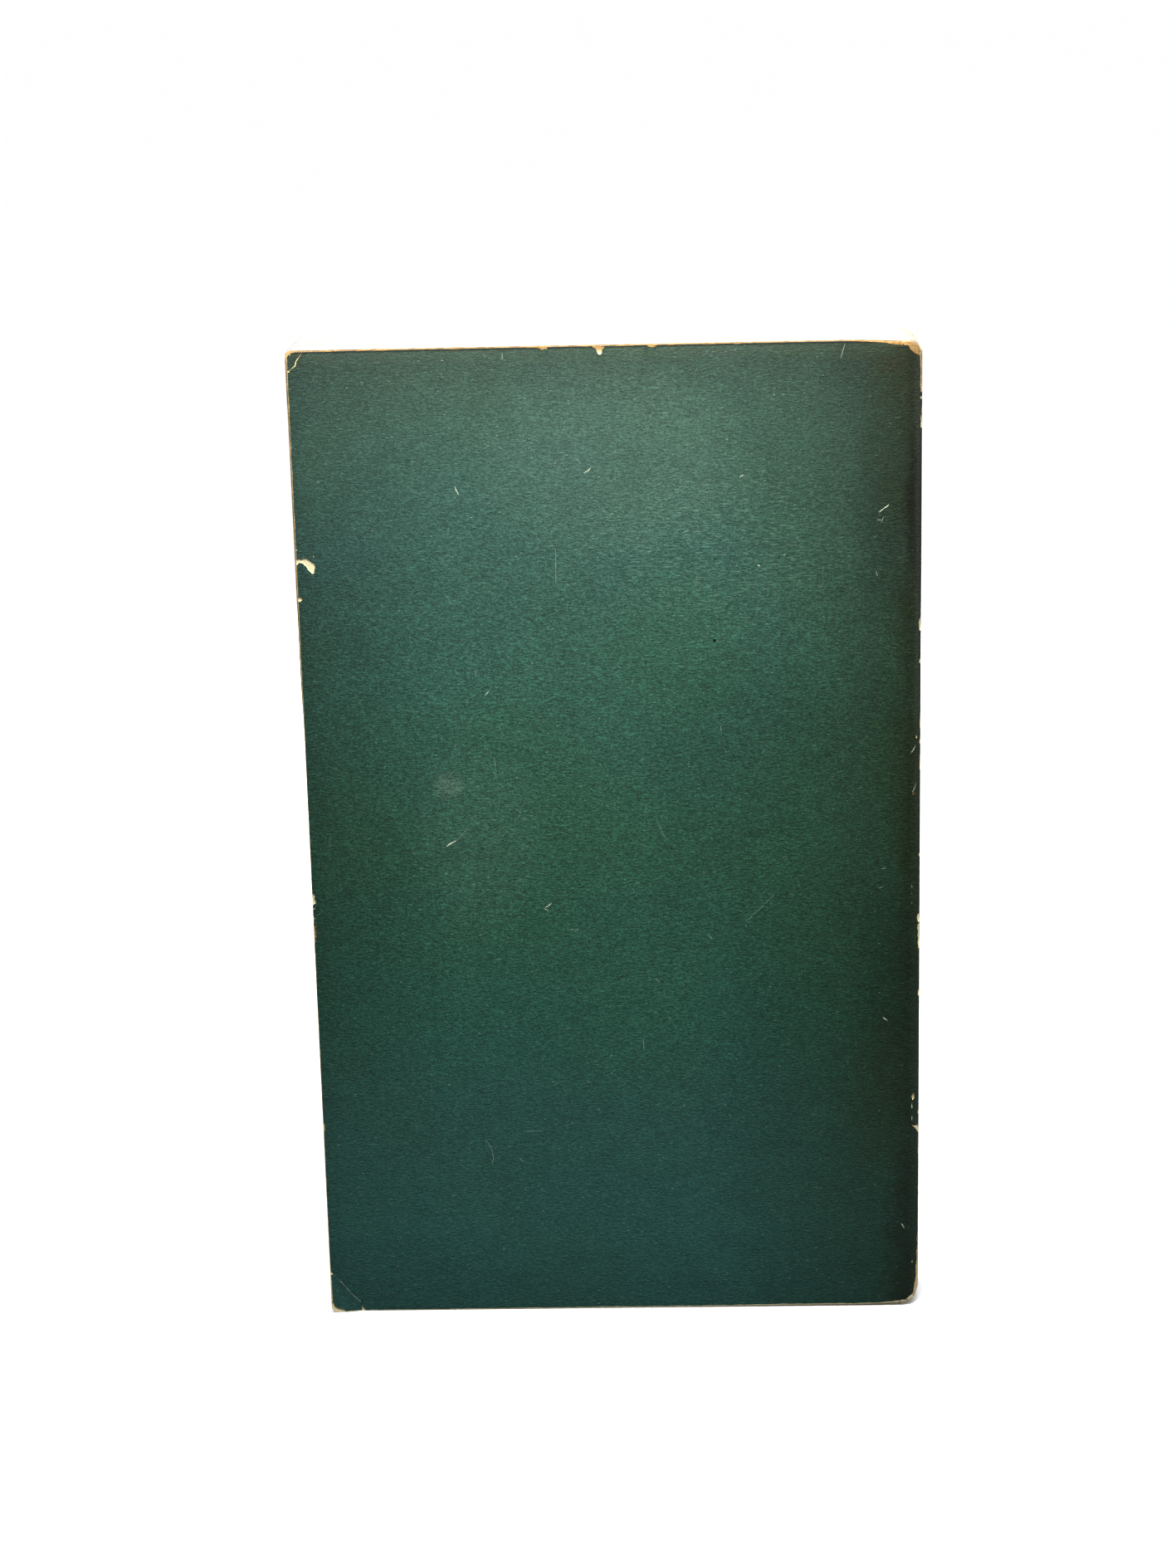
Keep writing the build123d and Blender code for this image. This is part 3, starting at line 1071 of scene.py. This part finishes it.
def green_finish():
    """Green printed card with a fine grain, brown with painted shade at the folds, darker towards its
    fore-edges with dirt and painted shade, and with painted shade low and painted sheen high in its tones.
    """
    f = Finish("cover_green")
    place, across, up = f.flat_place()
    from_middle = f.math("ABSOLUTE", f.less(across, sheet_middle))
    from_fore = f.less(sheet_middle, from_middle)

    # Tones up the cover, with painted shade at the tail and painted sheen near the head
    colour = f.ramp(f.math("DIVIDE", up, cover_head), green_tones)
    clouds = f.noise(place, (0.035, 0.03), 1, 0.5)
    tint = f.mix(f.span(clouds, 0.38, 0.66), (1, 1, 0.965, 1), (1.03, 1, 0.91, 1))
    colour = f.mix(1, colour, tint, "MULTIPLY")
    patches = f.noise(place, (0.16, 0.2), 2, 0.5, 4)
    colour = f.scaled(colour, f.even(patches, 0.94, 1.04))
    broken = f.noise(place, (0.3, 0.3), 4, 0.65, 71)
    # Patches of tone, among them a painted sheen and painted shade by the fold
    for spot_across, spot_up, wide, tall, share, tone in tone_patches:
        spot = f.spot(across, up, (spot_across, spot_up), (wide, tall), broken)
        colour = f.mix(f.times(spot, share), colour, tone)

    threads = f.noise(place, (1.1, 3.2), 0, 0.5, 9)
    fine = f.noise(place, (2.4, 3.6), 0, 0.5, 12)
    cross = f.noise(place, (3.6, 1.3), 0, 0.5, 15)
    finest = f.noise(place, (4.6, 6.2), 0, 0.5, 21)
    grain = f.plus(f.times(threads, 0.24), f.times(fine, 0.32))
    grain = f.plus(grain, f.times(cross, 0.12))
    grain = f.plus(grain, f.times(finest, 0.32))
    contrast = f.times(f.span(up, 15, 85, 2.1, 3.6), f.span(up, 125, 170, 1, 0.75))
    swing = f.times(f.less(grain, 0.5), contrast)
    colour = f.scaled(colour, f.math("POWER", exp(1), swing))

    paler = f.spot(across, up, (75, 145), (62, 38), broken)
    fibres = f.noise(place, (0.6, 4), 1, 0.4, 33)
    fibres = f.span(f.plus(fibres, f.times(paler, 0.105)), 0.68, 0.8)
    colour = f.mix(f.times(fibres, 0.42), colour, srgb(116, 154, 132))
    specks = f.span(f.noise(place, (1.2, 3.4), 0, 0.5, 47), 0.8, 0.88)
    colour = f.mix(f.times(specks, 0.6), colour, srgb(150, 178, 156))

    # Brown and painted shade at the folds, weaker low down
    uneven = f.noise(place, (0.12, 0.05), 3, 0.6, 55)
    darkened = f.ramp(f.math("DIVIDE", from_middle, fold_reach), fold_browning_and_shade)
    rise = f.span(up, 25, 60, 0.78, 1)
    strength = f.math("MULTIPLY", rise, f.span(uneven, 0.25, 0.75, 0.8, 1.1, "LINEAR"), True)
    colour = f.mix(strength, colour, f.mix(1, colour, darkened, "MULTIPLY"))
    # Darker towards the fore-edges, less near tail and head: dirt with painted shade of the light falling off
    # to the sides
    reach = f.times(f.span(up, 20, 80, 0.3, 1), f.span(up, 130, 165, 1, 0.6))
    darkening = f.times(f.span(from_fore, 30, 2, 0, 0.36), reach)
    darkening = f.plus(darkening, f.span(from_fore, 5, 0, 0, 0.12))
    colour = f.scaled(colour, f.less(1, darkening))
    band = f.span(up, cover_head - 4.5, cover_head - 0.5)
    streaks = f.noise(place, (0.25, 2.6), 3, 0.6, 61)
    band = f.times(band, f.span(streaks, 0.35, 0.65, 0.3, 1))
    colour = f.mix(f.times(band, 0.45), colour, srgb(58, 68, 48))
    colour = f.scaled(colour, f.span(up, cover_head - 0.55, cover_head - 0.25, 1, 0.35))

    f.bump(grain, 0.8, 0.16)
    roughness = f.span(grain, 0.35, 0.65, 0.62, 0.5, "LINEAR")
    return f.done(colour, roughness, f.span(from_middle, 4, 11, 0.06, 0.32))


def bare_finish(name, light, deep, head_tint):
    """Card where its green surface is gone: fibrous, with soil in it."""
    f = Finish(name)
    place, _, up = f.flat_place()
    fibre = f.noise(place, (1.4, 2.2), 4, 0.65, 3)
    darkening = f.noise(place, (0.5, 0.4), 3, 0.6, 8)
    colour = f.mix(f.span(fibre, *usual_noise), deep, light)
    colour = f.scaled(colour, f.even(darkening, 0.88, 1.05))
    tanned = f.mix(1, colour, head_tint, "MULTIPLY")
    colour = f.mix(f.span(up, cover_head - 1.6, cover_head - 0.3), colour, tanned)
    f.bump(fibre, 0.5, 0.08)
    return f.done(colour, f.even(darkening, 0.8, 0.9), 0.25)


def scratch_finish(name, colour, grain_share):
    """A scratch: green lifted off to pale fibres."""
    f = Finish(name)
    place, _, _ = f.flat_place()
    fibre = f.noise(place, (2.5, 2.5), 2, 0.6, 5)
    worn = f.scaled(colour, f.even(fibre, 1.0 - grain_share, 1.0 + grain_share))
    f.bump(fibre, 0.4, 0.05)
    return f.done(worn, f.even(fibre, 0.7, 0.9), 0.25)


def inside_finish():
    """The card's uncoated inner side, toned at its edges."""
    f = Finish("cover_inside")
    place, across, up = f.flat_place()
    from_middle = f.math("ABSOLUTE", f.less(across, sheet_middle))
    to_edge = f.less(sheet_middle, from_middle)
    to_end = f.math("MINIMUM", up, f.less(cover_head, up))
    margin = f.math("MINIMUM", to_edge, to_end)
    cloud = f.noise(place, (0.06, 0.06), 4, 0.6, 2)
    toned = f.span(f.plus(margin, f.times(cloud, 8)), 16, 2)
    colour = f.mix(toned, srgb(226, 213, 182), srgb(190, 164, 118))
    fibre = f.noise(place, (1.3, 1.6), 4, 0.65, 6)
    colour = f.scaled(colour, f.even(fibre, 0.93, 1.05))
    colour = f.foxed(colour, place, (0.5, 0.5), srgb(150, 112, 66))
    f.bump(fibre, 0.3, 0.05)
    return f.done(colour, f.even(fibre, 0.85, 0.95), 0.25)


# Tints of bare card at the head, soiled and torn
soiled_tint = (0.44, 0.31, 0.18, 1)
torn_tint = (0.95, 0.85, 0.7, 1)
finishes = []


def card_finishes():
    """The materials of the card, made once, in the order of their numbers."""
    if not finishes:
        finishes.extend((
            green_finish(),
            bare_finish("cover_bare", srgb(255, 248, 210), srgb(244, 226, 174), soiled_tint),
            bare_finish("cover_torn", srgb(205, 168, 112), srgb(150, 112, 66), torn_tint),
            bare_finish("cover_edge", srgb(230, 208, 158), srgb(186, 154, 102), soiled_tint),
            scratch_finish("cover_scratch", srgb(222, 230, 206), 0.2),
            scratch_finish("cover_fibre", srgb(136, 154, 138), 0.25),
            scratch_finish("cover_spot", srgb(6, 9, 9), 0.3),
            inside_finish(),
        ))
    return finishes


def page_edge_finish():
    """Trimmed edges of the leaves: pale lines of paper, toned and dusty."""
    f = Finish("page_edges")
    place, _, _, z = f.object_place()
    lines = f.noise(place, (0.05, 9, 0.03), 2, 0.6, 1)
    cloud = f.noise(place, (0.06, 0.3, 0.06), 4, 0.6, 7)
    colour = f.mix(f.span(lines, *usual_noise), srgb(212, 194, 156), srgb(244, 236, 214))
    colour = f.scaled(colour, f.even(cloud, 0.9, 1.04))
    dust = f.span(z, page_high.z - 1.2, page_high.z - 0.3)
    grey = f.scaled(srgb(180, 179, 175), f.span(lines, 0.35, 0.65, 0.82, 1.1, "LINEAR"))
    colour = f.mix(f.times(dust, 0.95), colour, grey)
    colour = f.foxed(colour, place, (0.6, 0.9, 0.6), srgb(150, 112, 66))
    f.bump(lines, 0.3, 0.05)
    return f.done(colour, f.even(cloud, 0.86, 0.96), 0.2)


def page_face_finish():
    """The outermost leaves: cream paper, browned towards its edges."""
    f = Finish("page_faces")
    place, x, _, z = f.object_place()
    to_fore = f.less(x, page_low.x)
    to_end = f.math("MINIMUM", z, f.less(page_high.z, z))
    margin = f.math("MINIMUM", to_fore, to_end)
    cloud = f.noise(place, (0.05, 0.05, 0.05), 4, 0.6, 2)
    toned = f.span(f.plus(margin, f.times(cloud, 10)), 18, 3)
    colour = f.mix(toned, srgb(236, 226, 200), srgb(206, 182, 136))
    rim_tone = f.span(margin, 2.4, 0.6)
    colour = f.mix(f.times(rim_tone, 0.85), colour, srgb(202, 174, 122))
    grime = f.span(f.noise(place, (0.7, 1, 0.7), 3, 0.6, 19), 0.42, 0.6, 1, 0.55)
    colour = f.scaled(colour, f.mix(f.span(margin, 0.9, 0.2), (1, 1, 1, 1), grime))
    fibre = f.noise(place, (1.6, 1.6, 1.6), 4, 0.6, 4)
    colour = f.scaled(colour, f.even(fibre, 0.96, 1.03))
    colour = f.foxed(colour, place, (0.4, 0.4, 0.4), srgb(168, 126, 74))
    f.bump(fibre, 0.2, 0.04)
    return f.done(colour, f.even(fibre, 0.88, 0.96), 0.2)


def glue_finish():
    """Hardened glue on open cotton cloth."""
    f = Finish("glue_and_cloth")
    place, _, y, z = f.object_place()
    weave_up = f.math("SINE", f.times(z, 5.2))
    weave_over = f.math("SINE", f.times(y, 5.2))
    weave = f.times(f.plus(weave_up, weave_over), 0.25)
    cloud = f.noise(place, (0.4, 0.8, 0.25), 4, 0.6, 3)
    height = f.plus(weave, cloud)
    colour = f.mix(f.span(height, 0.1, 0.9), srgb(124, 92, 48), srgb(196, 168, 116))
    dust = f.span(z, cover_head - 3, cover_head)
    colour = f.mix(f.times(dust, 0.6), colour, srgb(232, 226, 208))
    f.bump(height, 0.5, 0.1)
    return f.done(colour, f.even(cloud, 0.45, 0.75), 0.4)


def floor_finish():
    """Plain pale paper."""
    f = Finish("floor")
    place, _, _, _ = f.object_place()
    cloud = f.noise(place, (0.01, 0.01, 0.01), 2, 0.5)
    colour = f.scaled(srgb(248, 248, 249), f.even(cloud, 0.996, 1))
    return f.done(colour, f.even(cloud, 0.9, 1), 0)


def dress_book():
    """The pieces that stand for the solids; the spine card and the leaves go on the block's body."""
    back = card_panel("back_card", back_outline())
    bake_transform(back)
    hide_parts("back_cover")

    front = card_panel("front_card", front_outline())
    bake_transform(front)
    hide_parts("front_cover")

    spine = card_panel("spine_card", spine_outline())
    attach(spine, "block")
    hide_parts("spine")

    leaves = page_block()
    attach(leaves, "block")
    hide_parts("page_block")

    lining = frame["nodes"]["spine_lining"]
    lining.data.materials.clear()
    lining.data.materials.append(glue_finish())


def make_floor():
    """A wide pale floor under the tail."""
    radius = 24.0
    count = 96
    ring = [2 * pi * index / count for index in range(count)]
    places = [(radius * cos(turn), radius * sin(turn), 0) for turn in ring]
    floor = make_object("floor", places, [list(range(count))], [0], [floor_finish()])
    floor.visible_diffuse = False
    floor.visible_glossy = False


def area_light(name, place, aim, wide, deep, power):
    """A softbox that faces a point."""
    data = bpy.data.lights.new(name, "AREA")
    data.shape = "RECTANGLE"
    data.size = wide
    data.size_y = deep
    data.energy = power
    light = add_object(name, data)
    light.location = place
    light.rotation_mode = "QUATERNION"
    light.visible_camera = False
    light.rotation_quaternion = (Vector(aim) - Vector(place)).to_track_quat("-Z", "Y")


def make_lights():
    """Soft studio light: a box above the front, weaker ones round the book, and a wide sun overhead."""
    area_light("front_box", (0, -0.105, 0.315), (0, 0, 0.1), 0.12, 0.08, 0.8)
    area_light("rear_box", (-0.1, 0.6, 0.22), (0, 0, 0.09), 0.36, 0.3, 3.2)
    area_light("spine_box", (0.55, 0.06, 0.22), (0.05, 0, 0.09), 0.3, 0.3, 1.3)
    area_light("fore_box", (-0.55, 0.06, 0.22), (-0.05, 0, 0.09), 0.3, 0.3, 1.3)
    data = bpy.data.lights.new("overhead", "SUN")
    data.energy = 2.9
    data.angle = radians(60)
    add_object("overhead", data)


def make_world():
    """A dim grey surround for the light, seen as plain white."""
    world = bpy.data.worlds.new("studio")
    bpy.context.scene.world = world
    world.use_nodes = True
    nodes = world.node_tree.nodes
    seen = nodes.new("ShaderNodeLightPath")
    strength = nodes.new("ShaderNodeMapRange")
    strength.inputs["To Min"].default_value = 0.14
    world.node_tree.links.new(seen.outputs["Is Camera Ray"], strength.inputs["Value"])
    nodes["Background"].inputs["Color"].default_value = (1, 1, 1, 1)
    world.node_tree.links.new(strength.outputs["Result"], nodes["Background"].inputs["Strength"])


def make_camera():
    """The photograph's own view of the back cover."""
    data = bpy.data.cameras.new("camera")
    data.sensor_width = 36.0
    data.lens = 72.42
    data.clip_start = 0.01
    data.clip_end = 100.0
    camera = add_object("camera", data)
    camera.location = (0.01389, -0.55464, 0.25108)
    camera.rotation_euler = [radians(angle) for angle in (74.753, 1.312, 1.565)]
    bpy.context.scene.camera = camera


dress_book()
make_floor()
make_lights()
make_world()
make_camera()

bpy.context.scene.view_settings.view_transform = "Standard"
